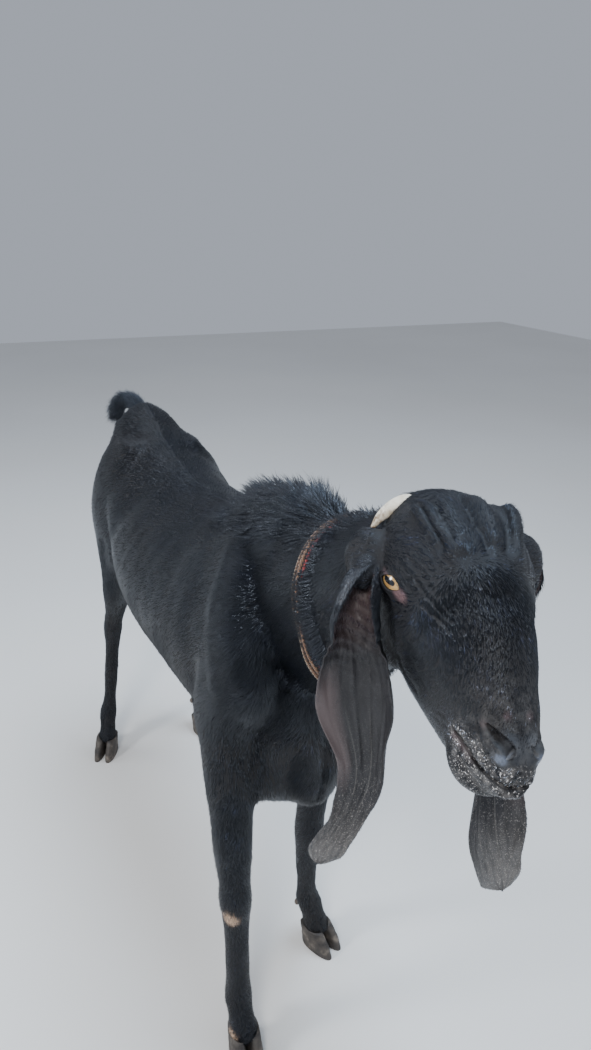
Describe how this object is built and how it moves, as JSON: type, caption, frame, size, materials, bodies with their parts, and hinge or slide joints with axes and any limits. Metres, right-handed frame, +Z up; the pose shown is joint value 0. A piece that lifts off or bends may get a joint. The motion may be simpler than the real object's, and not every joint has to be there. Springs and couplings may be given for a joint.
{
  "type": "beetal goat",
  "caption": "Life-size standing black beetal goat with long hanging folded ears, Roman nose, short flat horns, mane over the withers and a rope collar.",
  "frame": {"origin": "on the floor under the centre of the model's bounding box", "axes": "-Y is the way the goat faces, +X its left side, +Z up"},
  "size_m": [0.2883, 1.1878, 0.9237],
  "materials": {
    "coat": "short glossy black hair",
    "ear_skin": "thin dark skin with very short hair",
    "horn": "cream keratin, worn",
    "hoof": "dark dusty keratin",
    "eye": "wet, amber iris with a level dark pupil",
    "rope_tan": "twisted fibre, frayed",
    "cord_red": "thin twisted yarn",
    "strand_pale": "thin faded yarn"
  },
  "bodies": {
    "root": {"collar_cord_red": "cord_red", "collar_strand_front": "rope_tan", "collar_strand_pale": "strand_pale", "collar_strand_rear": "rope_tan", "ear_left": "ear_skin", "ear_right": "ear_skin", "eye_left": "eye", "eye_right": "eye", "foreleg_left": "coat", "foreleg_right": "coat", "head": "coat", "hindleg_left": "coat", "hindleg_right": "coat", "hoof_foreleg_left_inner": "hoof", "hoof_foreleg_left_outer": "hoof", "hoof_foreleg_right_inner": "hoof", "hoof_foreleg_right_outer": "hoof", "hoof_hindleg_left_inner": "hoof", "hoof_hindleg_left_outer": "hoof", "hoof_hindleg_right_inner": "hoof", "hoof_hindleg_right_outer": "hoof", "horn_left": "horn", "horn_right": "horn", "neck": "coat", "tail": "coat", "torso": "coat"}
  },
  "joints": []
}
